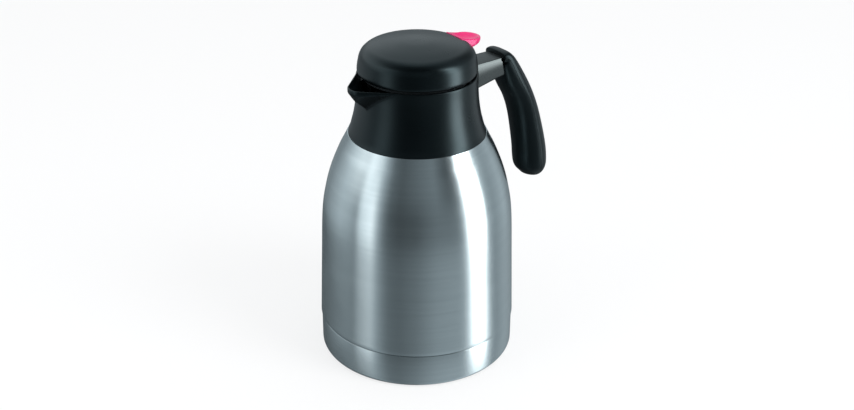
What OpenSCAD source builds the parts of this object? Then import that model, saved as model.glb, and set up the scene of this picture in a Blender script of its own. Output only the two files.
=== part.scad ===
// Vacuum jug, about one and a half litres, with a screw-in lid and a thumb lever that opens its pouring valve.
// Millimetres, +Z up, origin at the centre of the foot. The handle points to +X and the spout to -X.

/* [Steel body] */
// Diameter of the steel body just above the foot seam
body_d = 132.4; // [124:0.2:142]
// Height of the seat that carries the collar
seat_z = 156.6; // [140:0.2:175]
// Diameter of the shoulder at that seat
shoulder_d = 90.8; // [89:0.2:93]
// Sheet thickness of the outer shell
shell_wall = 1; // [0.6:0.1:1.4]
// Height of the foot cup
foot_h = 24.2; // [21.6:0.2:28]
// How far the foot cup stands back from the body
foot_step = 0.5; // [0.3:0.1:1]
// Sheet thickness of the foot cup
foot_wall = 0.8; // [0.5:0.1:1.2]
// Rounding of the foot's lower edge
foot_round = 3; // [2:0.25:5]
// Vacuum gap between the two steel walls
vacuum_gap = 4; // [3:0.25:6]
// Sheet thickness of the inner flask
flask_wall = 0.8; // [0.5:0.1:1.2]
// Depth of the plate that closes the vacuum space, below the foot's seam
plate_drop = 16.2; // [15:0.2:17.4]
// Height of the flask's floor above that plate
flask_rise = 6; // [4:0.5:10]
// Clear diameter of the steel mouth
mouth_d = 56; // [55.4:0.2:57]
// Height of the steel neck above the seat
neck_h = 21.4; // [20:0.2:23]

/* [Collar and spout] */
// Height of the collar
collar_h = 40.3; // [39.6:0.1:42]
// Diameter of the collar's lower edge
collar_d = 90.4; // [89:0.2:92]
// Diameter of the collar's rim
rim_d = 78.2; // [77.6:0.1:79.4]
// Wall of the collar
collar_wall = 2.5; // [2:0.1:2.8]
// Floor of the collar over the steel mouth
collar_floor = 2.2; // [1.6:0.1:2.6]
// Distance of the spout's tip from the axis
spout_reach = 51.8; // [50:0.2:56]
// Radius of the spout's nose seen from above
nose_r = 9; // [6:0.25:9.5]
// Half of the angle that the spout's root spans
spout_half_angle = 40; // [34:1:42]
// Height of the spout's keel line below the rim, at the collar
spout_depth = 16.4; // [14:0.2:17.4]
// Wall of the spout
spout_wall = 2; // [1.5:0.1:2.5]
// Thickness of the rim and of the spout's lip at the very top
rim_edge = 1.2; // [1:0.1:1.5]

/* [Handle] */
// Length of the arm from the rim to the grip
arm_len = 24.8; // [20:0.2:30]
// Width of the arm
arm_w = 17; // [14:0.5:19]
// Height of the arm at the collar
arm_h = 18; // [15:0.5:19]
// How far the arm's top lies below the rim
arm_drop = 2.2; // [1.5:0.1:4]
// Depth of the pocket in the collar that takes the arm's root
arm_pocket = 1.2; // [0.8:0.1:1.5]
// Wall of the grip's two shells
grip_wall = 2.4; // [2:0.1:2.8]
// Width of the core bar inside the grip
core_w = 9; // [7:0.5:11]
// Radius of the two pins that hold the grip's shells
grip_pin_r = 1.5; // [1.2:0.1:1.8]

/* [Lid] */
// Largest diameter of the lid
lid_d = 77.4; // [76.4:0.1:77.6]
// Height of the lid from its lower edge to its crown
lid_h = 20.8; // [20.2:0.1:23]
// Gap between the collar's rim and the lid
lid_gap = 1.4; // [1:0.1:2.5]
// Wall of the lid's cap
lid_wall = 2.2; // [1.8:0.1:2.4]
// Thickness of the plate that closes the cap from below
floor_t = 2.2; // [1.8:0.1:2.4]
// Radius of the circle on which the cap's screws stand
screw_circle_r = 21; // [20:0.25:21.5]
// Radius of the cap screws' shanks
cap_screw_r = 1.4; // [1.2:0.1:1.6]

/* [Stopper and screw thread] */
// Outer radius of the plug that enters the steel mouth
plug_r = 26.6; // [26:0.1:27]
// Depth of the plug below the collar's floor
plug_depth = 23; // [20:0.5:26]
// Outer radius of the stopper above the plug
stopper_r = 32.4; // [31.8:0.1:32.7]
// Wall of the stopper
stopper_wall = 2.2; // [1.8:0.1:2.6]
// Radius of the port in the plug's floor
port_r = 12; // [10:0.5:12.5]
// Thickness of the sealing ring under the stopper's shoulder
gasket_t = 1.4; // [1:0.1:1.6]
// Rise of the lid in one full turn
thread_lead = 27; // [24:1:30]
// Angle of each ridge inside the collar
ridge_angle = 70; // [65:1:72]
// Angle of each lug on the stopper
lug_angle = 30; // [24:1:32]
// Height of a ridge or lug at its tip
ridge_h = 2.2; // [1.8:0.1:2.4]
// Play between a lug and its ridge
thread_play = 0.4; // [0.35:0.05:0.6]

/* [Lever and valve] */
// Distance of the lever's pin from the axis
pin_x = 22; // [21:0.25:23]
// Height of the lever's pin above the lid's lower edge
pin_rise = 5.7; // [5.5:0.1:6]
// Radius of the lever's pin
pin_r = 1.5; // [1.2:0.1:1.8]
// Width of the thumb lever
lever_w = 17; // [16:0.2:18]
// Distance of the lever's outer end from the axis
lever_reach = 48.8; // [46:0.2:52]
// Play round the lever in the lid's notch
notch_play = 0.4; // [0.35:0.05:0.8]
// Radius of the valve's stem
stem_r = 3; // [2.4:0.1:3.2]
// Radius of the valve's disc
valve_r = 15.5; // [14.5:0.25:16.5]
// Thickness of the seal under the valve's disc
seal_t = 1.6; // [1.2:0.1:2]
// Radius of the return spring at the middle of its wire
spring_r = 5.5; // [5.2:0.1:6]
// Radius of the spring's wire
wire_r = 0.5; // [0.4:0.05:0.6]
// Number of the spring's curls
curls = 3; // [2:1:4]

/* [Hidden] */
$fn = 96;
eps = 0.01;
fit = 0.05;
running = 0.06;

body_r = body_d / 2;
shoulder_r = shoulder_d / 2;
foot_r = body_r - foot_step;
mouth_r = mouth_d / 2;
neck_gap = 1.2;
neck_r = mouth_r + flask_wall + neck_gap + shell_wall;
neck_z = seat_z + neck_h;
vacuum_plate_z = foot_h - plate_drop;
flask_z = vacuum_plate_z + flask_rise;
steel = [0.72, 0.74, 0.75];
black = [0.13, 0.15, 0.16];
rubber = [0.75, 0.75, 0.72];
pink = [0.93, 0.17, 0.36];

collar_r = collar_d / 2;
seat_play = 0.7;
step_r = min(shoulder_r, collar_r - collar_wall) - seat_play;
rim_r = rim_d / 2;
rim_z = seat_z + collar_h;
rim_round = 0.6;
rim_slope = 2;
nose_h = 3;
chin_x = 6.2;
chin_drop = 6.7;
chin_r = 3.2;
keel_r = 0.8;
root_h = 0.6;
gasket_h = 0.8;
floor_z = neck_z + gasket_h + collar_floor;
flask_corner = 10;
flask_lip = 1;
web_r = mouth_r + 0.5;
sleeve_r = neck_r + fit;
sleeve_wall = 2.2;
sleeve_h = 5.5;
groove_r = 43;
groove_w = 6;
groove_h = 1.2;
tip_r = 5;
tip_h = 1.5;
plate_corner = 6;
skirt_h = 6;

arm_top = rim_z - arm_drop;
arm_x = rim_r + arm_len;
core_t = 3;
slot_l = 4;
slot_w = 0.8;
screw_head = 1.8;
pin_half = 6;

lid_r = lid_d / 2;
lid_z = rim_z + lid_gap;
cap_inner_r = lid_r - lid_wall;
lid_floor_r = cap_inner_r - 0.15;
lid_floor_z = lid_z + floor_t;
cap_screw_l = 7;

plug_z = floor_z - plug_depth;
plug_floor = 2;
shoulder_z = floor_z + gasket_t;
flange_r = rim_r - collar_wall - 1;
flange_t = 2.5;
lug_r = flange_r + 0.2;
ridge_r = stopper_r + 0.9;
lug_z = shoulder_z + 3.6;
ridge_z = lug_z + ridge_h + thread_play;
thread_count = 3;
lug_first = 220;
window_h = 9;
window_w = 24;
window_z = shoulder_z + 2.6;
turn = 360 / thread_count;

pin_z = lid_z + pin_rise;
crest_rise = 17.4;
paddle_h = 8;
dish_r = 14;
dish_h = 2.2;
hub_r = 3.2;
ear_t = 2.5;
ear_gap = 0.3;
hub_step = 1.8;
hub_w = lever_w - 2 * hub_step;
notch_x = 28.6;
notch_rise = 5.1;
notch_z = lid_z + notch_rise;
valve_z = plug_z + plug_floor;
disc_z = valve_z + seal_t;
disc_t = 2.4;
disc_hub_r = 6;
disc_hub_h = 6;
boss_r = 1.5;
fork_r = hub_w / 2;
boss_z = pin_z - 1.3;
seat_r = 7.5;
seat_t = 1.5;
spring_seat_z = boss_z + boss_r + 0.3;
stem_top = spring_seat_z + 3.5;
guide_r = 6.5;
guide_h = 10;
stem_seal_r = 5;
stem_seal_t = 1.6;

// Outlines as pairs: share of the height, then share of the width
body_shape = [[0, 1], [0.31, 0.93], [0.57, 0.86], [0.7, 0.735], [0.8, 0.565], [0.9, 0.315],
              [0.955, 0.14], [1, 0]];
neck_shape = [[0, 1], [0.1, 0.9], [0.35, 0.5], [0.54, 0.14], [0.7, 0], [1, 0]];
flask_neck_shape = [[0, 1], [0.24, 0.62], [0.49, 0.19], [0.68, 0], [1, 0]];
collar_shape = [[0, 1], [0.08, 0.785], [0.19, 0.585], [0.3, 0.405], [0.42, 0.255], [0.58, 0.12],
                [0.8, 0.02], [1, 0]];
lid_shape = [[0, 0.982], [0.035, 0.996], [0.1, 1], [0.235, 0.992], [0.358, 0.98], [0.498, 0.962],
             [0.632, 0.922], [0.756, 0.835], [0.826, 0.709], [0.905, 0.506], [0.975, 0.253], [1, 0]];
// The arm's end as shares of the arm's height, and the side to which it grows
arm_end = [[0.222, 0, 1], [0.5, 0.389, 0], [0.389, 0.75, 0], [-0.222, 0.817, -1]];
// The paddle's side as pairs: share of its length, then share of its depth
paddle_side = [[0, 0], [0.14, 0.16], [0.45, 0.28], [1, 0.42], [1, 0.59], [0.8, 0.8], [0.49, 1]];
// The lever's hub and neck round its pin, in radii of the hub
hub_side = [[2.8, 0.5], [0.62, -0.78], [-0.78, -0.56], [-0.31, 0.94], [1.25, 1.37]];
// The grip's line: place from the arm's top end, half of its thickness, half of its width and its roundness
grip_line = [[0.6, -0.5, 3.2, 10.2, 0.5], [3.9, -1.2, 4.6, 10.8, 0.55], [6.7, -5.7, 6.8, 11.4, 0.7],
             [13.4, -18.5, 9, 12.4, 0.9], [20.8, -31.6, 9.3, 13, 1], [26.9, -47.2, 10, 13, 1],
             [32.7, -70.6, 11.4, 13.2, 1], [34.7, -84, 11.8, 13.2, 1], [35.6, -90.4, 10.4, 12.4, 1],
             [35.8, -95, 6.8, 9.2, 1], [35.9, -96.8, 3.2, 4.6, 1]];

// A smooth curve through points with any number of values
function between(a, b, c, d, t) =
    0.5 * (2 * b + (c - a) * t + (2 * a - 5 * b + 4 * c - d) * t * t + (3 * b - a - 3 * c + d) * t * t * t);
function smooth(pts, n) = concat(
    [for (i = [0 : len(pts) - 2]) for (k = [0 : n - 1])
        between(pts[max(i - 1, 0)], pts[i], pts[i + 1], pts[min(i + 2, len(pts) - 1)], k / n)],
    [pts[len(pts) - 1]]);
function reversed(pts) = [for (i = [len(pts) - 1 : -1 : 0]) pts[i]];
// An outline in radius and height, from z0 to z1, between the radii r0 and r1
function outline(shape, z0, z1, r0, r1, n = 3) =
    [for (p = smooth(shape, n)) [r1 + (r0 - r1) * p[1], z0 + (z1 - z0) * p[0]]];
function arc(x, z, r, from, to, n = 5) =
    [for (i = [0 : n]) let (a = from + (to - from) * i / n) [x + r * cos(a), z + r * sin(a)]];

// A closed skin through rings of equally many points
module skin(rings) {
    n = len(rings[0]);
    last = (len(rings) - 1) * n;
    sides = [for (i = [0 : len(rings) - 2]) for (j = [0 : n - 1])
        let (a = i * n + j, b = i * n + (j + 1) % n) each [[a + n, b, a], [a + n, b + n, b]]];
    start = [[for (j = [0 : n - 1]) j]];
    end = [[for (j = [n - 1 : -1 : 0]) last + j]];
    polyhedron(points = [for (ring = rings) each ring], faces = concat(start, sides, end));
}

// A rib along a helix, of a section given by radii at its root and its tip
module helical_rib(root_r, rib_r, angle, mid_angle, mid_z) {
    steps = 12;
    out = rib_r > root_r;
    low_r = min(root_r, rib_r);
    high_r = max(root_r, rib_r);
    low_h = out ? ridge_h + 0.6 : ridge_h;
    high_h = out ? ridge_h : ridge_h + 0.6;
    section = [[low_r, low_h / 2], [high_r, high_h / 2], [high_r, -high_h / 2], [low_r, -low_h / 2]];
    skin([for (i = [0 : steps])
        let (turned = angle * (i / steps), a = mid_angle + turned, z = mid_z + thread_lead * turned / 360)
        [for (p = section) [p[0] * cos(a), p[0] * sin(a), z + p[1]]]]);
}

module outer_shell() {
    outer = concat(outline(body_shape, foot_h, seat_z, body_r, shoulder_r, 4),
                   outline(neck_shape, seat_z, neck_z, step_r, neck_r));
    inner_seat = seat_z - shell_wall;
    inner = concat(
        outline(body_shape, foot_h, inner_seat, body_r - shell_wall, shoulder_r - shell_wall, 4),
        outline(neck_shape, inner_seat, neck_z, step_r - shell_wall, neck_r - shell_wall));
    color(steel)
        rotate_extrude()
            polygon(concat(outer, reversed(inner)));
}

module base_cup() {
    bead = [[groove_r + groove_w / 2, 0], [groove_r + groove_w / 2 - groove_h, groove_h],
            [groove_r - groove_w / 2 + groove_h, groove_h], [groove_r - groove_w / 2, 0]];
    outer = concat([[0, 0]], reversed(bead),
                   arc(foot_r - foot_round, foot_round, foot_round, -90, 0), [[foot_r, foot_h]]);
    inner = concat([[0, foot_wall]], [for (p = reversed(bead)) [p[0], p[1] + foot_wall]],
                   arc(foot_r - foot_round, foot_round, foot_round - foot_wall, -90, 0),
                   [[foot_r - foot_wall, foot_h]]);
    color(steel)
        rotate_extrude()
            polygon(concat(outer, reversed(inner)));
}

module vacuum_bottom() {
    skirt_r = foot_r - foot_wall;
    corner = plate_corner;
    plate = shell_wall;
    outer = concat([[0, vacuum_plate_z]],
                   arc(skirt_r - corner, vacuum_plate_z + corner, corner, -90, 0),
                   [[skirt_r, foot_h + skirt_h]]);
    inner = concat([[0, vacuum_plate_z + plate]],
                   arc(skirt_r - corner, vacuum_plate_z + corner, corner - plate, -90, 0),
                   [[skirt_r - plate, foot_h + skirt_h]]);
    color(steel)
        rotate_extrude()
            polygon(concat(outer, reversed(inner)));
}

module seal_tip() {
    color(steel)
        translate([0, 0, vacuum_plate_z - tip_h])
            cylinder(r = tip_r, h = tip_h);
}

function flask_outline(inset) = let (
    r_low = body_r - shell_wall - vacuum_gap - inset,
    r_high = shoulder_r - shell_wall - vacuum_gap - inset,
    z_high = seat_z - shell_wall - vacuum_gap - inset,
    corner = flask_corner)
    concat([[0, flask_z + inset]],
           arc(r_low - corner + inset, flask_z + corner, corner - inset, -90, -15),
           outline(body_shape, foot_h, z_high, r_low, r_high, 4),
           outline(flask_neck_shape, z_high + eps, neck_z - flask_lip, r_high - 0.2,
                   mouth_r + flask_wall - inset));

module inner_flask() {
    lip_r = neck_r - shell_wall - eps;
    outer = concat(flask_outline(0), [[lip_r, neck_z - flask_lip], [lip_r, neck_z]]);
    inner = concat(flask_outline(flask_wall), [[mouth_r, neck_z]]);
    color(steel)
        rotate_extrude()
            polygon(concat(outer, reversed(inner)));
}

// The collar's outer surface as a solid, drawn in by the inset
module collar_core(inset) {
    rotate_extrude()
        polygon(concat([[0, seat_z]],
                       outline(collar_shape, seat_z, rim_z, collar_r - inset, rim_r - inset),
                       [[0, rim_z]]));
}

// The arm's block, from inside the collar's wall to the grip
module arm_block(extra) {
    root = rim_r - collar_wall;
    side = concat([[root, arm_top + extra]],
                  [for (p = arm_end) [arm_x + arm_h * p[0], arm_top - arm_h * p[1] + extra * p[2]]],
                  [[rim_r + 0.228 * arm_h, arm_top - arm_h - extra], [root, arm_top - arm_h - extra]]);
    rotate([90, 0, 0])
        linear_extrude(height = arm_w + 2 * extra, center = true)
            polygon(side);
}

// The spout's shape, drawn in by the inset below and by the lip at its top edge
module spout_form(inset, top, lip) {
    hull() {
        translate([-(spout_reach - nose_r), 0, rim_z - nose_h + 0.8 * inset])
            cylinder(r = nose_r - inset, h = nose_h - 0.8 * inset, $fn = 32);
        translate([-(spout_reach - nose_r), 0, rim_z])
            cylinder(r = nose_r - lip, h = top + eps, $fn = 32);
        translate([-(spout_reach - chin_x), 0, rim_z - chin_drop])
            sphere(r = chin_r - inset, $fn = 24);
        for (side = [-1, 1])
            rotate([0, 0, 180 + side * (spout_half_angle - 2 * lip)])
                translate([rim_r - collar_wall / 2 - 1.5 * lip, 0, rim_z - root_h])
                    cylinder(r = keel_r / 2, h = root_h + top, $fn = 32);
        translate([-(rim_r - collar_wall / 2 - 1.5 * inset), 0, rim_z - spout_depth + 1.2 * inset])
            sphere(r = keel_r, $fn = 16);
    }
}

module collar_ridges() {
    for (i = [0 : thread_count - 1])
        helical_rib(rim_r - collar_wall + 0.9, ridge_r, ridge_angle, lug_first + i * turn - lug_angle / 2,
                    ridge_z - thread_lead * lug_angle / 720);
}

module collar() {
    outer = outline(collar_shape, seat_z, rim_z - rim_round, collar_r, rim_r);
    wall = [for (p = reversed(outer)) if (p[1] > floor_z + 1 && p[1] < rim_z - rim_slope - 1)
        [p[0] - collar_wall, p[1]]];
    low = [for (p = reversed(outer)) if (p[1] < floor_z - collar_floor - 1) [p[0] - collar_wall, p[1]]];
    wall_r = wall[len(wall) - 1][0];
    under_z = floor_z - collar_floor;
    color(black)
        union() {
            difference() {
                union() {
                    rotate_extrude()
                        polygon(concat(outer, arc(rim_r - rim_round, rim_z - rim_round, rim_round, 18, 90, 3),
                            [[rim_r - rim_edge, rim_z], [rim_r - collar_wall, rim_z - rim_slope]], wall,
                            [[wall_r, floor_z], [web_r, floor_z], [web_r, under_z], [sleeve_r, under_z],
                             [sleeve_r, under_z - sleeve_h], [sleeve_r + sleeve_wall, under_z - sleeve_h],
                             [sleeve_r + sleeve_wall, under_z], [low[0][0], under_z]], low));
                    difference() {
                        spout_form(0, 0, 0);
                        translate([0, 0, seat_z])
                            cylinder(r = rim_r - collar_wall / 2, h = collar_h + 1);
                    }
                }
                spout_form(spout_wall, 2, rim_edge);
                difference() {
                    arm_block(fit);
                    collar_core(arm_pocket + fit);
                }
            }
            collar_ridges();
        }
}

module neck_gasket() {
    color(rubber)
        translate([0, 0, neck_z])
            difference() {
                cylinder(r = neck_r, h = gasket_h);
                translate([0, 0, -eps])
                    cylinder(r = web_r, h = gasket_h + 1);
            }
}

// The grip's line as stations with centre, half thickness, half width and roundness
grip_stations = [for (p = smooth(grip_line, 2)) [arm_x + p[0], arm_top + p[1], p[2], p[3], p[4]]];
function grip_dir(i) = let (
    a = grip_stations[max(i - 1, 0)],
    b = grip_stations[min(i + 1, len(grip_stations) - 1)],
    d = [b[0] - a[0], b[1] - a[1]])
    d / norm(d);
// One ring of the grip, shrunk by the inset, over the given angles
function swell(v, power) = sign(v) * pow(abs(v), power);
function grip_ring(i, inset, angles) = let (
    s = grip_stations[i],
    d = grip_dir(i),
    a = s[2] - inset,
    b = s[3] - inset)
    [for (t = angles)
        let (u = a * swell(cos(t), s[4]), v = b * swell(sin(t), s[4]) * (1 - 0.12 * cos(t) * cos(t)))
        [s[0] - d[1] * u, -v, s[1] + d[0] * u]];
full_ring = [for (i = [0 : 15]) i * 22.5];
outer_half = [for (i = [-4 : 4]) i * 22.5];
inner_half = [for (i = [4 : 12]) i * 22.5];
cavity_from = 4;
cavity_to = 16;

module grip_form(angles) {
    skin([for (i = [0 : len(grip_stations) - 1]) grip_ring(i, 0, angles)]);
}

module grip_cavity() {
    skin([for (i = [cavity_from : cavity_to]) grip_ring(i, grip_wall, full_ring)]);
}

// Places a shape on the grip's line, its Z axis pointing out of the grip's back
pin_stations = [8, 12];
module on_grip(i) {
    s = grip_stations[i];
    d = grip_dir(i);
    translate([s[0], 0, s[1]])
        rotate([0, 90 - atan2(d[0], -d[1]), 0])
            children();
}

function core_side(from, to, out) = [for (i = [from : to]) let (s = grip_stations[i], d = grip_dir(i))
    [s[0] - d[1] * out, s[1] + d[0] * out]];

module handle_arm() {
    color(black)
        difference() {
            union() {
                arm_block(0);
                rotate([90, 0, 0])
                    linear_extrude(height = core_w, center = true)
                        polygon(concat(core_side(4, 13, core_t), reversed(core_side(4, 13, -core_t))));
            }
            collar_core(arm_pocket);
            for (i = pin_stations)
                on_grip(i)
                    cylinder(r = grip_pin_r, h = 10 * core_t, center = true);
        }
}

module grip_boss(i, from, to, r) {
    on_grip(i)
        translate([0, 0, from])
            cylinder(r = r, h = to - from);
}

module grip_outer() {
    color(black)
        difference() {
            union() {
                difference() {
                    grip_form(outer_half);
                    grip_cavity();
                }
                for (i = pin_stations)
                    grip_boss(i, core_t + fit, pin_half + 3, 2.27 * grip_pin_r);
            }
            arm_block(fit);
            for (i = pin_stations)
                grip_boss(i, -pin_half, pin_half, grip_pin_r);
        }
}

module grip_inner() {
    color(black)
        difference() {
            union() {
                difference() {
                    grip_form(inner_half);
                    grip_cavity();
                }
                for (i = pin_stations)
                    grip_boss(i, -pin_half - 3, -core_t - 3 * fit, 2.27 * grip_pin_r);
            }
            arm_block(fit);
            for (i = pin_stations)
                grip_boss(i, -pin_half, pin_half, grip_pin_r);
        }
}

module grip_pins() {
    color(steel)
        for (i = pin_stations)
            grip_boss(i, -pin_half, pin_half, grip_pin_r);
}

module plug_gasket() {
    color(rubber)
        translate([0, 0, floor_z])
            difference() {
                cylinder(r = stopper_r - 1, h = gasket_t);
                translate([0, 0, -eps])
                    cylinder(r = plug_r + running, h = gasket_t + 1);
            }
}

module stopper_body() {
    inner_r = plug_r - stopper_wall;
    bell_r = stopper_r - stopper_wall;
    flange_z = lid_z - flange_t;
    color(black)
        union() {
            difference() {
                rotate_extrude()
                    polygon([[port_r, plug_z], [plug_r, plug_z], [plug_r, shoulder_z],
                             [stopper_r, shoulder_z], [stopper_r, flange_z], [flange_r, flange_z],
                             [flange_r, lid_z], [bell_r, lid_z], [bell_r, shoulder_z + stopper_wall],
                             [inner_r, shoulder_z + stopper_wall], [inner_r, valve_z], [port_r, valve_z]]);
                for (i = [0 : thread_count - 1])
                    rotate([0, 0, 180 + i * turn])
                        translate([plug_r, -window_w / 2, window_z])
                            cube([stopper_r - plug_r + 1, window_w, window_h]);
            }
            for (i = [0 : thread_count - 1])
                helical_rib(stopper_r - 0.6, lug_r, lug_angle, lug_first + i * turn - lug_angle / 2,
                            lug_z - thread_lead * lug_angle / 720);
        }
}

module lever_ears() {
    for (side = [-1, 1])
        translate([pin_x, side * (hub_w / 2 + ear_gap + ear_t / 2), 0]) {
            translate([0, 0, pin_z])
                rotate([90, 0, 0])
                    cylinder(r = hub_r, h = ear_t, center = true);
            translate([-hub_r, -ear_t / 2, lid_floor_z - eps])
                cube([2 * hub_r, ear_t, pin_z - lid_floor_z]);
        }
}

// Places a shape at each of the cap's screws
module at_cap_screws() {
    for (a = [90, 180, 270])
        rotate([0, 0, a])
            translate([screw_circle_r, 0, 0])
                children();
}

module lid_floor() {
    color(black)
        difference() {
            union() {
                translate([0, 0, lid_z])
                    cylinder(r = lid_floor_r, h = floor_t);
                translate([0, 0, lid_z - guide_h])
                    cylinder(r = guide_r, h = guide_h + 1);
                lever_ears();
            }
            translate([0, 0, lid_z - guide_h - 1])
                cylinder(r = stem_r + running, h = guide_h + floor_t + 2);
            translate([0, 0, lid_floor_z - stem_seal_t])
                cylinder(r = stem_seal_r, h = stem_seal_t + 1);
            translate([pin_x, 0, pin_z])
                rotate([90, 0, 0])
                    cylinder(r = pin_r, h = 2 * lever_w, center = true);
            at_cap_screws()
                translate([0, 0, lid_z - 1])
                    cylinder(r = cap_screw_r, h = floor_t + 2);
        }
}

module stem_seal() {
    color(rubber)
        translate([0, 0, lid_floor_z - stem_seal_t])
            difference() {
                cylinder(r = stem_seal_r, h = stem_seal_t);
                translate([0, 0, -1])
                    cylinder(r = stem_r + running, h = stem_seal_t + 2);
            }
}

module cap_solid(inset) {
    rotate_extrude()
        polygon(concat([[0, lid_z]],
                       outline(lid_shape, lid_z, lid_z + lid_h - inset, lid_r - inset, 0)));
}

module lid_cap() {
    color(black)
        difference() {
            union() {
                difference() {
                    cap_solid(0);
                    translate([0, 0, -eps])
                        cap_solid(lid_wall);
                    translate([0, 0, lid_z - eps])
                        cylinder(r = cap_inner_r, h = floor_t + 1);
                }
                intersection() {
                    cap_solid(lid_wall / 2);
                    union() {
                        at_cap_screws()
                            translate([0, 0, lid_floor_z])
                                cylinder(r = 2.2 * cap_screw_r, h = lid_h);
                        translate([0, 0, lid_z + lid_h - lid_wall - 3])
                            cylinder(r = spring_r - wire_r - 0.5, h = lid_wall + 2);
                    }
                }
            }
            translate([notch_x, -lever_w / 2 - notch_play, notch_z])
                cube([lid_r, lever_w + 2 * notch_play, lid_h]);
            at_cap_screws()
                translate([0, 0, lid_floor_z - 1])
                    cylinder(r = cap_screw_r, h = cap_screw_l + 2);
        }
}

module cap_screws() {
    color(steel)
        at_cap_screws() {
            translate([0, 0, lid_z])
                cylinder(r = cap_screw_r, h = floor_t + cap_screw_l);
            difference() {
                translate([0, 0, lid_z - screw_head])
                    cylinder(r = 1.85 * cap_screw_r, h = screw_head);
                translate([0, 0, lid_z - screw_head])
                    cube([slot_l - 0.6, slot_w, 2 * slot_w], center = true);
            }
        }
}

module lever_pin() {
    color(steel)
        translate([pin_x, 0, pin_z])
            rotate([90, 0, 0])
                cylinder(r = pin_r, h = hub_w + 2 * ear_gap + 2 * ear_t, center = true);
}

module thumb_lever() {
    crest_z = lid_z + crest_rise;
    front_x = notch_x + notch_play;
    end_x = lever_reach - lever_w / 2;
    fork_t = 2.8;
    fork_in = stem_r + 0.9;
    paddle_l = lever_reach - front_x;
    side = concat([for (p = paddle_side) [front_x + paddle_l * p[0], crest_z - paddle_h * p[1]]],
                  [for (p = hub_side) [pin_x + hub_r * p[0], pin_z + hub_r * p[1]]],
                  [[front_x, pin_z + 2 * hub_r]]);
    color(pink)
        difference() {
            union() {
                intersection() {
                    rotate([90, 0, 0])
                        linear_extrude(height = lever_w, center = true)
                            polygon(side);
                    union() {
                        translate([end_x, 0, lid_z])
                            cylinder(r = lever_w / 2, h = lid_h);
                        translate([front_x, -lever_w / 2, lid_z])
                            cube([end_x - front_x, lever_w, lid_h]);
                        translate([0, -hub_w / 2, lid_z])
                            cube([front_x + 1, hub_w, lid_h]);
                    }
                }
                translate([pin_x, 0, pin_z])
                    rotate([90, 0, 0])
                        cylinder(r = hub_r, h = hub_w, center = true);
                for (s = [-1, 1]) {
                    translate([0, s * (fork_r + fork_in) / 2, boss_z])
                        rotate([90, 0, 0])
                            cylinder(r = boss_r, h = fork_r - fork_in, center = true);
                    translate([0, s * (fork_r + fork_in) / 2 - (fork_r - fork_in) / 2, boss_z - boss_r])
                        cube([pin_x, fork_r - fork_in, fork_t]);
                }
            }
            translate([pin_x, 0, pin_z])
                rotate([90, 0, 0])
                    cylinder(r = pin_r + running, h = 2 * lever_w, center = true);
            translate([end_x, 0, crest_z - 0.36 * paddle_h + dish_r - dish_h])
                sphere(r = dish_r);
        }
}

module valve_stem() {
    color(steel)
        rotate_extrude()
            polygon([[0, valve_z - 1.6], [5, valve_z - 1.6], [5, valve_z], [stem_r, valve_z],
                     [stem_r, spring_seat_z], [seat_r, spring_seat_z], [seat_r, spring_seat_z + seat_t],
                     [stem_r, spring_seat_z + seat_t], [stem_r, stem_top - 0.5], [stem_r - 0.5, stem_top],
                     [0, stem_top]]);
}

module valve_disc() {
    color(black)
        rotate_extrude()
            polygon([[stem_r, disc_z], [valve_r, disc_z], [valve_r, disc_z + disc_t],
                     [disc_hub_r + 1, disc_z + disc_t + 1], [disc_hub_r, disc_z + disc_t + 2],
                     [disc_hub_r, disc_z + disc_t + disc_hub_h], [stem_r, disc_z + disc_t + disc_hub_h]]);
}

module valve_seal() {
    color(rubber)
        translate([0, 0, valve_z])
            difference() {
                cylinder(r = valve_r - 0.3, h = seal_t);
                translate([0, 0, -1])
                    cylinder(r = stem_r, h = seal_t + 2);
            }
}

// The spring's wire: a helix of curls with rings of six points
spring_low = spring_seat_z + seat_t + wire_r;
spring_high = lid_z + lid_h - lid_wall - wire_r - 0.35;
curl_rings = 8;
function wire_at(i) = let (a = i * 360 / curl_rings, total = curls * curl_rings)
    [spring_r * cos(a), spring_r * sin(a), spring_low + (spring_high - spring_low) * i / total];
function wire_ring(i) = let (a = i * 360 / curl_rings, c = wire_at(i))
    [for (t = [0 : 60 : 300]) let (u = wire_r * cos(t), v = wire_r * sin(t))
        [c[0] + u * cos(a), c[1] + u * sin(a), c[2] - v]];
spring_least_gap = (spring_high - spring_low) / curls - 2 * wire_r;
echo(spring_least_gap = spring_least_gap);

module return_spring() {
    color(steel)
        skin([for (i = [0 : curls * curl_rings]) wire_ring(i)]);
}

outer_shell();
base_cup();
vacuum_bottom();
seal_tip();
inner_flask();
collar();
neck_gasket();
handle_arm();
grip_outer();
grip_inner();
grip_pins();
plug_gasket();
stopper_body();
lid_floor();
stem_seal();
lid_cap();
cap_screws();
lever_pin();
thumb_lever();
valve_stem();
valve_disc();
valve_seal();
return_spring();
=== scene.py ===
# %% [markdown]
# # A steel vacuum jug with a black collar, lid and handle
#
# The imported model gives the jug's solids in metres, with the handle towards +X and the spout towards -X.
# This lesson dresses them: smooth turned steel, grained black plastic, a glossy lever, soft studio light and
# the photograph's camera. The solids stay where they are. Where a solid is too coarse to show a soft
# highlight, a finer piece is modelled in its place.

# %% Load the frame
import math

import bpy
import bmesh
from mathutils import Matrix, Vector
from mathutils.bvhtree import BVHTree


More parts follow.
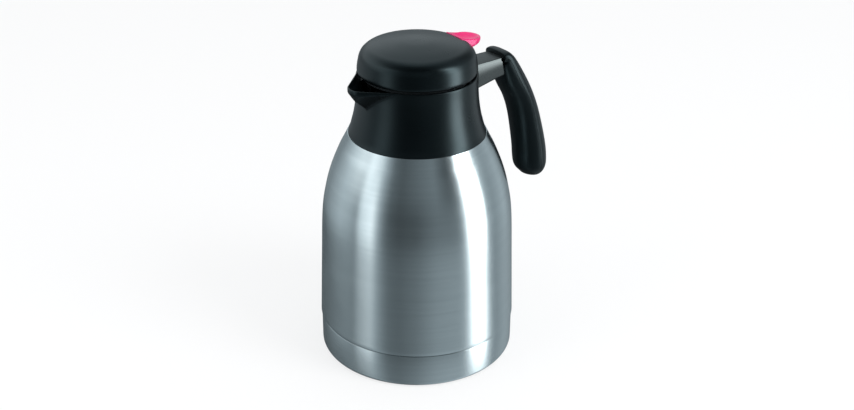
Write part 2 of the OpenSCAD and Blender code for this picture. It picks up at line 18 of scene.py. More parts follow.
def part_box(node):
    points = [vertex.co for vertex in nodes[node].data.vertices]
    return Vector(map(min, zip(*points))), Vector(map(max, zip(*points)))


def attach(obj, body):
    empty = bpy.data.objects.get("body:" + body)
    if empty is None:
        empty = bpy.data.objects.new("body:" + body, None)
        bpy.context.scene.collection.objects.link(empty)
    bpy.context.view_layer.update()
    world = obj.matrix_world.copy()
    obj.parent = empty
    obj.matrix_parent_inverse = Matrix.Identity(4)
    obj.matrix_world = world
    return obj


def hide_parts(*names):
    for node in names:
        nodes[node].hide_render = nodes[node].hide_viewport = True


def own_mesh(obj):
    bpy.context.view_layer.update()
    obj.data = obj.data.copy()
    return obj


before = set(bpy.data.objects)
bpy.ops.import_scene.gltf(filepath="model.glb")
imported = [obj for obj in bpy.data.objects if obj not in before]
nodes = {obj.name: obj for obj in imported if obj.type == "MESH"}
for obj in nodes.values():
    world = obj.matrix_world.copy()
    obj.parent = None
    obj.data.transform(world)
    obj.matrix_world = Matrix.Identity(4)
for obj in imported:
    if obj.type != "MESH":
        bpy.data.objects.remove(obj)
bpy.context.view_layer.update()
MM = 0.001
print("CAD nodes:", len(nodes))

# %% [markdown]
# ## Sizes
#
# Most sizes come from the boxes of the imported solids, so this file follows them if they change. What a box
# can't tell, such as a wall or a rounding, is a named value here.

# %% Sizes from the frame
shell_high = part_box("outer_shell")[1]
foot_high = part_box("base_cup")[1]
collar_low, collar_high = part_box("collar")
lid_low, lid_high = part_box("lid_cap")
lever_low, lever_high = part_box("thumb_lever")
gasket_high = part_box("neck_gasket")[1]
plug_low, plug_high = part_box("plug_gasket")
spring_low, spring_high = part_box("return_spring")
pin_low, pin_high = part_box("lever_pin")

body_r = shell_high.x
foot_r = foot_high.x
foot_z = foot_high.z
seat_z = collar_low.z
collar_r = collar_high.y
rim_z = collar_high.z
spout_reach = -collar_low.x
neck_z = shell_high.z
neck_r = gasket_high.x
floor_z = plug_low.z
lid_r = lid_high.y
lid_z = lid_low.z
lid_top = lid_high.z
pin_x = (pin_low.x + pin_high.x) / 2
pin_z = (pin_low.z + pin_high.z) / 2
print("rim at", round(rim_z / MM, 1), "mm, lid from", round(lid_z / MM, 1), "to", round(lid_top / MM, 1), "mm")

# %% Walls and roundings
shoulder_r = 45.4 * MM
rim_r = 39.1 * MM
step_r = collar_r - 3.2 * MM
steel_wall = 1.0 * MM
foot_wall = 0.8 * MM
foot_round = 3.0 * MM
collar_wall = 2.5 * MM
collar_floor = 2.2 * MM
rim_round = 0.6 * MM
rim_edge = 1.0 * MM
rim_slope = 2 * MM
lid_wall = 2.2 * MM
floor_t = 2.2 * MM
arm_top = rim_z - 2.2 * MM
arm_w = 17 * MM
arm_h = 18 * MM
arm_x = rim_r + 24.8 * MM

# %% [markdown]
# ## Helpers
#
# Every operator works on what is selected, so each step starts with nothing selected. An outline is drawn as
# by hand: one vertex is put down and extruded from point to point. A turned piece spins its outline round Z,
# and a lofted piece extrudes its end face from ring to ring.

# %% Selecting
def pick_none():
    if bpy.context.mode != "OBJECT":
        bpy.ops.object.mode_set(mode="OBJECT")
    bpy.ops.object.select_all(action="DESELECT")


def pick(piece):
    pick_none()
    piece.select_set(True)
    bpy.context.view_layer.objects.active = piece


def edit(piece):
    pick(piece)
    bpy.ops.object.mode_set(mode="EDIT")
    bpy.ops.mesh.select_all(action="DESELECT")


# %% Curves through points
def between(a, b, c, d, t):
    return 0.5 * (2 * b + (c - a) * t + (2 * a - 5 * b + 4 * c - d) * t * t + (3 * b - a - 3 * c + d) * t ** 3)


def smooth_line(points, steps):
    last = len(points) - 1
    line = []
    for i in range(last):
        four = [points[max(i - 1, 0)], points[i], points[i + 1], points[min(i + 2, last)]]
        for k in range(steps):
            line.append(tuple(between(*values, k / steps) for values in zip(*four)))
    line.append(tuple(points[last]))
    return line


def outline(shape, z0, z1, r0, r1, steps=8):
    return [(r1 + (r0 - r1) * w, z0 + (z1 - z0) * h) for h, w in smooth_line(shape, steps)]


def arc(x, z, radius, start, stop, steps=8):
    angles = [math.radians(start + (stop - start) * i / steps) for i in range(steps + 1)]
    return [(x + radius * math.cos(a), z + radius * math.sin(a)) for a in angles]


# %% Drawing, turning and lofting
def draw_line(name, points):
    pick_none()
    bpy.ops.mesh.primitive_plane_add(size=MM)
    piece = bpy.context.object
    piece.name = piece.data.name = name
    bpy.ops.object.mode_set(mode="EDIT")
    bpy.ops.mesh.merge(type="CENTER")
    bpy.ops.transform.translate(value=points[0])
    for a, b in zip(points, points[1:]):
        step = Vector(b) - Vector(a)
        bpy.ops.mesh.extrude_region_move(TRANSFORM_OT_translate={"value": step})
    return piece


def tidy_surface(piece, angle=30):
    bpy.ops.mesh.select_all(action="SELECT")
    bpy.ops.mesh.remove_doubles(threshold=0.004 * MM)
    bpy.ops.mesh.normals_make_consistent(inside=False)
    pick(piece)
    bpy.ops.object.shade_smooth_by_angle(angle=math.radians(angle))
    return piece


def turn(name, points, steps=180):
    piece = draw_line(name, [(r, 0, z) for r, z in points])
    bpy.ops.mesh.select_all(action="SELECT")
    bpy.ops.mesh.spin(steps=steps, angle=2 * math.pi, center=(0, 0, 0), axis=(0, 0, 1))
    return tidy_surface(piece)


def loft(name, rings, angle=40):
    pick_none()
    count = len(rings[0])
    bpy.ops.mesh.primitive_circle_add(vertices=count, radius=MM, fill_type="NGON")
    piece = bpy.context.object
    piece.name = piece.data.name = name
    for vertex, place in zip(piece.data.vertices, rings[0]):
        vertex.co = place
    bpy.ops.object.mode_set(mode="EDIT")
    bpy.ops.mesh.select_all(action="SELECT")
    for before, after in zip(rings, rings[1:]):
        bpy.ops.mesh.extrude_region_move()
        cap = bmesh.from_edit_mesh(piece.data)
        for vertex in [v for v in cap.verts if v.select]:
            nearest = min(range(count), key=lambda i: (Vector(before[i]) - vertex.co).length_squared)
            vertex.co = after[nearest]
        bmesh.update_edit_mesh(piece.data)
    return tidy_surface(piece, angle)


def join(name, pieces):
    pick(pieces[0])
    for piece in pieces[1:]:
        piece.select_set(True)
    bpy.ops.object.join()
    pieces[0].name = pieces[0].data.name = name
    return pieces[0]


def cut(piece, tool):
    pick(piece)
    modifier = piece.modifiers.new("cut", "BOOLEAN")
    modifier.operation = "DIFFERENCE"
    modifier.solver = "EXACT"
    modifier.object = tool
    bpy.ops.object.modifier_apply(modifier=modifier.name)
    bpy.data.objects.remove(tool)


def place(piece):
    pick(piece)
    bpy.ops.object.transform_apply(location=True, rotation=True, scale=True)
    return piece


# %% [markdown]
# ## Steel body and foot
#
# The body of such a jug is spun from sheet, so its curve is smooth from the foot to the shoulder. The
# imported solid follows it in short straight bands, and bands show in brushed steel. The outline is therefore
# turned again with a finer line. The foot is a separate cup. It ends a little below the body, both edges are
# rounded, and the open slot between them draws the fine dark seam of the photograph.

# %% Body shell
body_shape = [(0, 1), (0.31, 0.93), (0.57, 0.86), (0.7, 0.735), (0.8, 0.565), (0.9, 0.315), (0.955, 0.14),
              (1, 0)]
neck_shape = [(0, 1), (0.1, 0.9), (0.35, 0.5), (0.54, 0.14), (0.7, 0), (1, 0)]
seam_round = 0.2 * MM


def shell_line(inset):
    low = foot_z + (seam_round if inset == 0 else 0)
    seat = seat_z - inset
    return (outline(body_shape, low, seat, body_r - inset, shoulder_r - inset, 10)
            + outline(neck_shape, seat, neck_z, step_r - inset, neck_r - inset, 5))


shell_outer = arc(body_r - seam_round, foot_z + seam_round, seam_round, -90, 0, 4)[:-1] + shell_line(0)
shell_inner = shell_line(steel_wall)
body_shell = turn("body_shell", shell_outer + shell_inner[::-1] + shell_outer[:1], 240)
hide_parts("outer_shell")
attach(body_shell, "vessel")
print("body_shell faces:", len(body_shell.data.polygons))

# %% Foot cup
bead_r = 43 * MM
bead_w = 6 * MM
bead_h = 1.2 * MM


def cup_line(inset):
    bead = [(bead_r - bead_w / 2, inset), (bead_r - bead_w / 2 + bead_h, bead_h + inset),
            (bead_r + bead_w / 2 - bead_h, bead_h + inset), (bead_r + bead_w / 2, inset)]
    side = arc(foot_r - foot_round, foot_round, foot_round - inset, -90, 0, 10)
    return [(0, inset)] + bead + side


foot_seam = 0.75 * MM
cup_top = foot_z - foot_seam
cup_outer = cup_line(0) + arc(foot_r - seam_round, cup_top - seam_round, seam_round, 0, 90, 4)
cup_inner = cup_line(foot_wall) + [(foot_r - foot_wall, cup_top)]
foot_cup = turn("foot_cup", cup_outer + cup_inner[::-1], 240)
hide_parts("base_cup")
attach(foot_cup, "vessel")
print("foot_cup faces:", len(foot_cup.data.polygons), "and its seam:", round(foot_seam / MM, 2), "mm")

# %% [markdown]
# ## Collar and spout
#
# The collar is one moulding, and its wall runs out into the spout. Two shapes joined by a boolean would leave
# ragged shading where they meet. Instead the plain ring is turned first, with close rows near the rim. A
# mould of the spout is the tight skin (convex hull) round a nose, two roots and the keel. Each vertex
# of the wall that lies inside the mould is then pushed out to it, the inner side a wall's thickness behind.

# %% The spout's mould
nose_r = 9 * MM
nose_h = 3 * MM
keel_depth = 16.4 * MM
root_angle = 40
root_r = rim_r - collar_wall / 2

small_r = 0.5 * MM


def ball(radius, x, y, z, segments=12):
    bpy.ops.mesh.primitive_uv_sphere_add(segments=segments, ring_count=segments // 2, radius=radius,
                                         location=(x, y, z))


pick_none()
bpy.ops.mesh.primitive_cylinder_add(vertices=96, radius=nose_r, depth=nose_h + 2 * MM,
                                    location=(nose_r - spout_reach, 0, rim_z - nose_h / 2 + MM))
mould = bpy.context.object
bpy.ops.object.mode_set(mode="EDIT")
ball(3.2 * MM, 6.2 * MM - spout_reach, 0, rim_z - 6.7 * MM, 48)
ball(0.8 * MM, -root_r, 0, rim_z - keel_depth, 24)
ball(small_r, -26 * MM, 0, rim_z - 26 * MM)
for side in (-1, 1):
    root_turn = math.radians(180 + side * root_angle)
    root = (root_r * math.cos(root_turn), root_r * math.sin(root_turn), rim_z + 0.7 * MM)
    bpy.ops.mesh.primitive_cylinder_add(vertices=32, radius=small_r, depth=2.6 * MM, location=root)
    for angle, radius, drop in ((60, 30, 8), (60, 33, -2), (80, 34, -2)):
        inner_turn = math.radians(180 + side * angle)
        ball(small_r, radius * MM * math.cos(inner_turn), radius * MM * math.sin(inner_turn), rim_z - drop * MM)
bpy.ops.mesh.select_all(action="SELECT")
bpy.ops.mesh.convex_hull()
bpy.ops.object.mode_set(mode="OBJECT")
place(mould)
mould_faces = BVHTree.FromObject(mould, bpy.context.evaluated_depsgraph_get())

# %% The ring
collar_shape = [(0, 1), (0.08, 0.785), (0.19, 0.585), (0.3, 0.405), (0.42, 0.255), (0.58, 0.12), (0.8, 0.02),
                (1, 0)]
web_r = 28.5 * MM
sleeve_r = neck_r + 0.05 * MM
sleeve_wall = 2.2 * MM
sleeve_h = 5.5 * MM
under_z = floor_z - collar_floor
row = 0.7 * MM

side_line = outline(collar_shape, seat_z, rim_z - rim_round, collar_r, rim_r, 9)


def side_r(z):
    for (r0, z0), (r1, z1) in zip(side_line, side_line[1:]):
        if z <= z1:
            return r0 + (r1 - r0) * max(0, z - z0) / (z1 - z0)
    return rim_r


def rows(low, high, inset):
    count = max(2, math.ceil((high - low) / row))
    heights = [low + (high - low) * i / count for i in range(count + 1)]
    return [(side_r(z) - inset, z) for z in heights]


edge_round = 0.3 * MM
sleeve_low = under_z - sleeve_h
foot_edge = (collar_r - edge_round, seat_z)
outside = (rows(seat_z + edge_round, rim_z - rim_round, 0)
           + arc(rim_r - rim_round, rim_z - rim_round, rim_round, 15, 90, 5)
           + arc(rim_r - rim_edge + edge_round, rim_z - edge_round, edge_round, 90, 150, 3))
inside = rows(floor_z, rim_z - rim_slope, collar_wall)[::-1]
web = [(web_r, floor_z), (web_r, under_z), (sleeve_r, under_z), (sleeve_r, sleeve_low),
       (sleeve_r + sleeve_wall, sleeve_low), (sleeve_r + sleeve_wall, under_z)]
collar_line = [foot_edge] + outside + inside + web + rows(seat_z, under_z, collar_wall)[::-1] + [foot_edge]
collar_ring = turn("collar_ring", collar_line, 400)

# %% Push the wall out to the mould
crease = 0.4 * MM


def lift(x, y, z):
    out = Vector((x, y, 0)).normalized()
    hit = mould_faces.ray_cast(Vector((0, 0, z)) + out * 80 * MM, -out)[0]
    excess = -5 * MM if hit is None else Vector((hit.x, hit.y)).length - side_r(z)
    return (excess + math.hypot(excess, crease)) / 2


for vertex in collar_ring.data.vertices:
    x, y, z = vertex.co
    r = math.hypot(x, y)
    if z < rim_z - keel_depth - 3 * MM or x > 0 or r < side_r(z) - collar_wall - 0.1 * MM:
        continue
    level = min(z, rim_z - rim_round)
    share = min(1, max(0, (r - side_r(z) + collar_wall) / collar_wall))
    share += (1 - share) * min(1, max(0, (z - rim_z + rim_slope) / rim_slope))
    push = share * lift(x, y, level) + (1 - share) * lift(x, y, level - collar_wall)
    vertex.co.x += push * x / r
    vertex.co.y += push * y / r
bpy.data.objects.remove(mould)
pick(collar_ring)
bpy.ops.object.shade_smooth_by_angle(angle=math.radians(35))
print("spout's tip at", round(min(v.co.x for v in collar_ring.data.vertices) / MM, 2), "mm")

# %% Thread ridges inside the collar
lead = 27 * MM
ridge_h = 2.2 * MM
ridge_z = plug_high.z + 3.6 * MM + ridge_h + 0.4 * MM


def ridge(first_angle, angle, name):
    steps = 28
    flare = 0.3 * MM
    half_h = ridge_h / 2
    inner, outer = 33.3 * MM, rim_r - collar_wall + 0.9 * MM
    section = [(inner, half_h), (outer, half_h + flare), (outer, -half_h - flare), (inner, -half_h)]
    rings = []
    for i in range(steps + 1):
        turned = angle * i / steps
        a = math.radians(first_angle + turned)
        z = ridge_z + lead * (turned - 15) / 360
        rings.append([(r * math.cos(a), r * math.sin(a), z + dz) for r, dz in section])
    return loft(name, rings, 20)


ridges = [ridge(205 + 120 * i, 70, f"ridge_{i}") for i in range(3)]
collar_ring = join("collar_ring", [collar_ring] + ridges)
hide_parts("collar")
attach(collar_ring, "vessel")

# %% [markdown]
# ## Lid
#
# The lid's cap is turned from one line: a soft crease divides its gently domed top from the rounded
# shoulder. A shape with a notch can't be turned, so the notch for the lever is sawn into the rear afterwards,
# and the saw's two inner corners are rounded, as a mould would leave them. The cap is hollow. Four bosses
# inside it take the three screws and the upper end of the spring.

# %% Cap
lid_shape = [(0, 0.982), (0.035, 0.996), (0.1, 1), (0.235, 0.992), (0.358, 0.98), (0.498, 0.962), (0.632, 0.922),
             (0.756, 0.835), (0.826, 0.709), (0.905, 0.506), (0.975, 0.253), (1, 0)]
cap_outer = outline(lid_shape, lid_z, lid_top, lid_r, 0, 8)
cap_inner = outline(lid_shape, lid_z, lid_top - lid_wall, lid_r - lid_wall, 0, 6)
recess_top = lid_z + floor_t + MM
cap_recess = [(lid_r - lid_wall, lid_z), (lid_r - lid_wall, recess_top)]
cap_line = cap_outer[::-1] + cap_recess + [(r, z) for r, z in cap_inner if z > recess_top]
lid_cover = turn("lid_cover", cap_line, 300)

notch_x = 28.6 * MM
notch_z = lid_z + 5.1 * MM
lever_w = lever_high.y - lever_low.y
notch_w = lever_w + 0.8 * MM
bpy.ops.mesh.primitive_cube_add(size=1, location=(notch_x + lid_r / 2, 0, notch_z + 15 * MM))
notch = bpy.context.object
notch.scale = (lid_r, notch_w, 30 * MM)
place(notch)
edit(notch)
corner_edges = bmesh.from_edit_mesh(notch.data)
for edge in corner_edges.edges:
    a, b = edge.verts
    edge.select_set(abs(a.co.x - notch_x) < MM and abs(b.co.x - notch_x) < MM and abs(a.co.y - b.co.y) < MM)
bmesh.update_edit_mesh(notch.data)
bpy.ops.mesh.bevel(offset=0.9 * MM, segments=4, affect="EDGES")
pick_none()
cut(lid_cover, notch)
pick(lid_cover)
bpy.ops.object.shade_smooth_by_angle(angle=math.radians(35))

# %% Bosses inside the cap
cap_screw_r = 1.4 * MM
screw_circle_r = 21 * MM
boss_z = lid_z + 2.2 * MM
boss_top = lid_top - 4 * MM
boss_r = 2.2 * cap_screw_r
bosses = []
for i, angle in enumerate((90, 180, 270)):
    boss_line = [(cap_screw_r, boss_z), (boss_r, boss_z), (boss_r, boss_top), (cap_screw_r, boss_top),
                 (cap_screw_r, boss_z)]
    boss = turn(f"boss_{i}", boss_line, 32)
    boss.location = Matrix.Rotation(math.radians(angle), 3, "Z") @ Vector((screw_circle_r, 0, 0))
    bosses.append(place(boss))
spring_r = (spring_high.x - spring_low.x) / 2 - 0.5 * MM
spring_seat = lid_top - 5.2 * MM
seat_line = [(0, spring_seat), (spring_r - 1.5 * MM, spring_seat), (spring_r - MM, lid_top - 4.7 * MM),
             (spring_r - MM, lid_top - MM), (0, lid_top - MM)]
bosses.append(turn("spring_boss", seat_line, 48))
lid_cover = join("lid_cover", [lid_cover] + bosses)
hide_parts("lid_cap")
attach(lid_cover, "lid")
print("lid_cover faces:", len(lid_cover.data.polygons), "and its notch:", round(notch_w / MM, 1), "mm wide")

# %% [markdown]
# ## Lever
#
# The lever is the one coloured piece. Its thumb paddle is lofted along X from sections with rounded corners,
# its plan ends in a half circle, and a round dish is sunk into its top with a soft rim. The hub and the fork
# that lifts the valve are hidden by the lid, and are made in the same way so that the piece is whole. A box
# with bevelled edges would be quicker, but it can't hold the half circle and the dish together.

# %% Lever sections
half_w = lever_w / 2
reach = lever_high.x
front_x = notch_x + 0.4 * MM
end_x = reach - half_w
crest_z = lid_z + 17.4 * MM
paddle_h = 8 * MM
dish_r = 14 * MM
dish_low = crest_z - 0.36 * paddle_h - 2.2 * MM


def box_section(x, low, high, width, round_r, across=14):
    round_r = min(round_r, 0.98 * width, 0.49 * (high - low))
    flat = width - round_r
    ring = [(flat * (2 * i / across - 1), high) for i in range(across + 1)]
    corners = ((flat, high - round_r, 90), (flat, low + round_r, 0), (-flat, low + round_r, -90),
               (-flat, high - round_r, -180))
    for y, z, start in corners:
        angles = [math.radians(start - 90 * i / 5) for i in range(1, 5 if start == -180 else 6)]
        if start in (0, -180):
            angles.insert(0, math.radians(start))
        ring += [(y + round_r * math.cos(a), z + round_r * math.sin(a)) for a in angles]
    return [(x, y, z) for y, z in ring]


def dished(ring, soft=0.35 * MM):
    result = []
    for x, y, z in ring:
        room = dish_r ** 2 - (x - end_x) ** 2 - y ** 2
        if room > 0 and z > crest_z - 0.7 * paddle_h and x > front_x + 2 * MM:
            excess = z - (dish_low + dish_r - math.sqrt(room))
            z -= (excess + math.hypot(excess, soft)) / 2 if excess > -2 * MM else 0
        result.append((x, y, z))
    return result


def paddle_line(shares):
    return smooth_line([(front_x + (reach - front_x) * a, crest_z - paddle_h * b) for a, b in shares], 6)


def along(line, x):
    for (x0, z0), (x1, z1) in zip(line, line[1:]):
        if x <= x1:
            return z0 + (z1 - z0) * (x - x0) / (x1 - x0)
    return line[-1][1]


top_line = paddle_line([(0, 0), (0.14, 0.13), (0.45, 0.27), (1, 0.42)])
low_line = smooth_line([(front_x, pin_z + 1.4 * MM), (front_x + 4 * MM, pin_z + 2.4 * MM),
                        (38.7 * MM, crest_z - 8 * MM), (44.8 * MM, crest_z - 6.4 * MM),
                        (reach, crest_z - 4.7 * MM)], 6)
edge_r = 1.1 * MM
paddle = []
for back, shrink in ((0, 0.7), (0.12, 0.3), (0.4, 0.07)):
    x = front_x + back * MM
    low, high = along(low_line, front_x) + shrink * MM, along(top_line, x) - shrink * MM
    paddle.append(box_section(x, low, high, half_w - shrink * MM, edge_r))
front_round = 0.4 * MM
straight_steps = 18
for i in range(1, straight_steps + 1):
    x = front_x + front_round + (end_x - front_x - front_round) * i / straight_steps
    paddle.append(dished(box_section(x, along(low_line, x), along(top_line, x), half_w, edge_r)))
for angle in (12, 24, 35, 45, 54, 62, 69, 75, 80, 84, 87):
    a = math.radians(angle)
    x = end_x + half_w * math.sin(a)
    middle = (along(low_line, x) + along(top_line, x)) / 2
    half = (along(top_line, x) - along(low_line, x)) / 2 * math.cos(a) ** 0.3
    paddle.append(dished(box_section(x, middle - half, middle + half, half_w * math.cos(a), edge_r)))
lever_paddle = loft("lever_paddle", paddle, 50)

# %% Lever hub and fork
hub_w = half_w - 1.8 * MM
hub_hole, hub_chamfer_r, hub_r = 1.56 * MM, 2.9 * MM, 3.2 * MM
hub_chamfer = 0.3 * MM
fork_gap = 3.9 * MM
neck_heights = ((1.6, -2.4, 3.2), (4, -1.6, 4.4), (5.5, -0.7, 5.6), (7, 0.4, 6.4), (8.4, 1.4, 6.6))
neck = [box_section(pin_x + ahead * MM, pin_z + low * MM, pin_z + high * MM, hub_w, 0.6 * MM)
        for ahead, low, high in neck_heights]
lever_parts = [lever_paddle, loft("lever_neck", neck, 50)]
hub_line = [(hub_hole, -hub_w), (hub_chamfer_r, -hub_w), (hub_r, hub_chamfer - hub_w), (hub_r, hub_w - hub_chamfer),
            (hub_chamfer_r, hub_w), (hub_hole, hub_w), (hub_hole, -hub_w)]
hub = turn("lever_hub", hub_line, 48)
hub.rotation_euler = (math.pi / 2, 0, 0)
hub.location = (pin_x, 0, pin_z)
lever_parts.append(place(hub))
prong_z = pin_z - 1.3 * MM
for side in (-1, 1):
    prong_y = side * (hub_w + fork_gap) / 2
    prong_w = (hub_w - fork_gap) / 2
    prong = [box_section(x * MM, prong_z - 1.5 * MM * rise, prong_z + 1.4 * MM * rise, prong_w * rise, 0.4 * MM, 2)
             for x, rise in ((-1.5, 0.3), (-1.1, 0.75), (-0.5, 0.97), (0, 1), (8, 1), (16, 1), (21, 1))]
    prong = [[(x, y + prong_y, z) for x, y, z in ring] for ring in prong]
    lever_parts.append(loft(f"lever_prong_{side}", prong, 50))
lever = join("lever", lever_parts)
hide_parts("thumb_lever")
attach(lever, "lever")
print("lever faces:", len(lever.data.polygons))

# %% [markdown]
# ## Handle
#
# The arm is lofted along X from sections with a flat top, softly crowned sides and narrowly rounded edges,
# because a flat side would show one even grey. The grip is two half shells that meet on a fine seam along
# both sides. A curve with a bevel would keep one section from end to end, so each half is lofted along the
# grip's own line, from an almost square section at the arm to an oval in the hand, and the corners at the
# seam are taken off to draw it.

# %% Arm
arm_root = 37 * MM
arm_end = (arm_x + 8.6 * MM, arm_top - 7 * MM)
arm_over = [(arm_root, arm_top), (arm_x + 4 * MM, arm_top), arm_end]
arm_under = [(arm_root, arm_top - arm_h), (rim_r + 4.1 * MM, arm_top - arm_h),
             (arm_x - 4 * MM, arm_top - 14.7 * MM), (arm_x + 6.7 * MM, arm_top - 13.5 * MM), arm_end]
arm_taper = 0.4 * MM
arm_crown = 0.7 * MM


def arm_section(x):
    high, low = along(arm_over, x), along(arm_under, x)
    top_r = 0.7 * MM
    low_r = min(2 * MM, 0.4 * (high - low))
    width = arm_w / 2 - arm_taper * max(0, (x - rim_r) / (arm_x - rim_r)) ** 2
    tall = high - low - low_r
    side = [(width - top_r + top_r * math.sin(a), high - top_r + top_r * math.cos(a))
            for a in (math.radians(22.5 * i) for i in range(5))]
    side += [(width - arm_crown * t * t, high - top_r - (tall - top_r) * t)
             for t in (i / 9 for i in range(1, 10))]
    side += [(width - arm_crown - low_r + low_r * math.cos(a), low + low_r - low_r * math.sin(a))
             for a in (math.radians(18 * i) for i in range(1, 6))]
    return [(x, y, z) for y, z in side] + [(x, -y, z) for y, z in reversed(side)]


arm_span = arm_x - 33 * MM
arm_stations = [arm_root + arm_span * i / 12 for i in range(13)] + [arm_x + 6.7 * MM, arm_x + 8 * MM]
handle_bar = loft("handle_bar", [arm_section(x) for x in arm_stations], 40)

# %% Grip line
# Each row: along and up from the arm's end, half thickness, half width (all mm), and how square the section is
grip_line = [(0.6, -0.5, 3.2, 10.2, 0.5), (3.9, -1.2, 4.6, 10.8, 0.55), (6.7, -5.7, 6.8, 11.4, 0.7),
             (13.4, -18.5, 9, 12.4, 0.9), (20.8, -31.6, 9.3, 13, 1), (26.9, -47.2, 10, 13, 1),
             (32.7, -70.6, 11.4, 13.2, 1), (34.7, -84, 11.8, 13.2, 1), (35.6, -90.4, 10.4, 12.4, 1),
             (35.8, -95, 6.8, 9.2, 1), (35.9, -96.8, 3.2, 4.6, 1)]
grip_steps = 6
stations = smooth_line(grip_line, grip_steps)
seam = 0.15 * MM


def swell(value, power):
    return math.copysign(abs(value) ** power, value)


def grip_frame(i):
    a, b = stations[max(i - 1, 0)], stations[min(i + 1, len(stations) - 1)]
    way = Vector((b[0] - a[0], 0, b[1] - a[1])).normalized()
    middle = Vector((arm_x + stations[i][0] * MM, 0, arm_top + stations[i][1] * MM))
    return middle, Vector((-way.z, 0, way.x))


def half_ring(i, side, scale=1.0):
    middle, out = grip_frame(i)
    thick, wide, power = stations[i][2] * MM * scale, stations[i][3] * MM * scale, stations[i][4]
    ring = []
    for k in range(-12, 13):
        t = math.radians(90 * k / 12)
        u = max(thick * swell(math.cos(t), power), 0)
        v = wide * swell(math.sin(t), power) * (1 - 0.12 * math.cos(t) ** 2)
        if abs(k) == 12:
            u = seam
        ring.append(middle + out * side * u + Vector((0, -v, 0)))
    back = wide - seam
    for v in (back, back / 2, 0, -back / 2, -back):
        ring.append(middle + out * side * 0.02 * MM + Vector((0, -v, 0)))
    return ring


def grip_half(name, side):
    rings = [half_ring(0, side, 0.9)] + [half_ring(i, side) for i in range(len(stations))]
    end = len(stations) - 1
    middle = grip_frame(end)[0]
    rings += [[p.lerp(middle, share) for p in half_ring(end, side)] for share in (0.4, 0.85)]
    return loft(name, rings, 50)


grip_back = grip_half("grip_back", 1)
grip_front = grip_half("grip_front", -1)

# %% Core bar inside the grip
core_half_t, core_half_w = 3 * MM, 4.5 * MM
core_rings = []
for i in range(2 * grip_steps, 6 * grip_steps + 4):
    middle, out = grip_frame(i)
    core_rings.append([middle + out * u * core_half_t + Vector((0, v * core_half_w, 0))
                       for u, v in ((1, 1), (-1, 1), (-1, -1), (1, -1))])
handle_bar = join("handle_bar", [handle_bar, loft("core", core_rings, 30)])
for piece, node in ((handle_bar, "handle_arm"), (grip_back, "grip_outer"), (grip_front, "grip_inner")):
    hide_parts(node)
    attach(piece, "vessel")
    print(piece.name, "faces:", len(piece.data.polygons))

# %% [markdown]
# ## Return spring
#
# The spring presses the valve shut, and the imported one has a six-sided wire. A curve with depth would have to
# be converted, so a round wire is lofted along the same helix. It rides with the lid.

# %% Spring wire
wire_r = 0.5 * MM
wire_sides = 10
curls = 3
curl_steps = 24
wire_steps = curls * curl_steps
spring_length = spring_high.z - spring_low.z
spring_rings = []
for i in range(wire_steps + 1):
    a = 2 * math.pi * i / curl_steps
    z = spring_low.z + wire_r + (spring_length - 2 * wire_r) * i / wire_steps
    ring = []
    for k in range(wire_sides):
        t = 2 * math.pi * k / wire_sides
        r = spring_r + wire_r * math.cos(t)
        ring.append((r * math.cos(a), r * math.sin(a), z + wire_r * math.sin(t)))
    spring_rings.append(ring)
spring = loft("spring", spring_rings, 60)
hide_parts("return_spring")
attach(spring, "lid")
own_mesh(spring)

# %% [markdown]
# ## Surface effects
#
# Three effects are shared, so each is a node group that is built once. Brushing is noise that is stretched
# round the body, fine grain is a small cell pattern, and handling is a wide, weak noise that varies the gloss.

# %% Node helpers
def new_group(name, inputs, outputs):
    group = bpy.data.node_groups.new(name, "ShaderNodeTree")
    for label, kind, value in inputs:
        socket = group.interface.new_socket(name=label, in_out="INPUT", socket_type=kind)
        if value is not None:
            socket.default_value = value
    for label, kind in outputs:
        group.interface.new_socket(name=label, in_out="OUTPUT", socket_type=kind)
    source = group.nodes.new("NodeGroupInput")
    target = group.nodes.new("NodeGroupOutput")
    return group, source, target


def add(tree, kind, **values):
    node = tree.nodes.new(kind)
    for key, value in values.items():
        setattr(node, key, value)
    return node


def math_node(tree, operation, first, second):
    node = add(tree, "ShaderNodeMath", operation=operation)
    for socket, value in zip(node.inputs, (first, second)):
        if isinstance(value, (int, float)):
            socket.default_value = value
        else:
            tree.links.new(value, socket)
    return node.outputs[0]


# %% Brushing
brushing, source, target = new_group(
    "brushing",
    [("Vector", "NodeSocketVector", None), ("Along", "NodeSocketFloat", 12.0), ("Across", "NodeSocketFloat", 900.0)],
    [("Lines", "NodeSocketFloat"), ("Streaks", "NodeSocketFloat")])
split = add(brushing, "ShaderNodeSeparateXYZ")
brushing.links.new(source.outputs["Vector"], split.inputs[0])
stretched = add(brushing, "ShaderNodeCombineXYZ")
for axis, scale in zip("XYZ", ("Along", "Along", "Across")):
    scaled = math_node(brushing, "MULTIPLY", split.outputs[axis], source.outputs[scale])
    brushing.links.new(scaled, stretched.inputs[axis])
for label, scale, detail in (("Lines", 1.1, 1.0), ("Streaks", 0.35, 2.0)):
    noise = add(brushing, "ShaderNodeTexNoise")
    noise.inputs["Scale"].default_value = scale
    noise.inputs["Detail"].default_value = detail
    brushing.links.new(stretched.outputs[0], noise.inputs["Vector"])
    brushing.links.new(noise.outputs["Fac"], target.inputs[label])

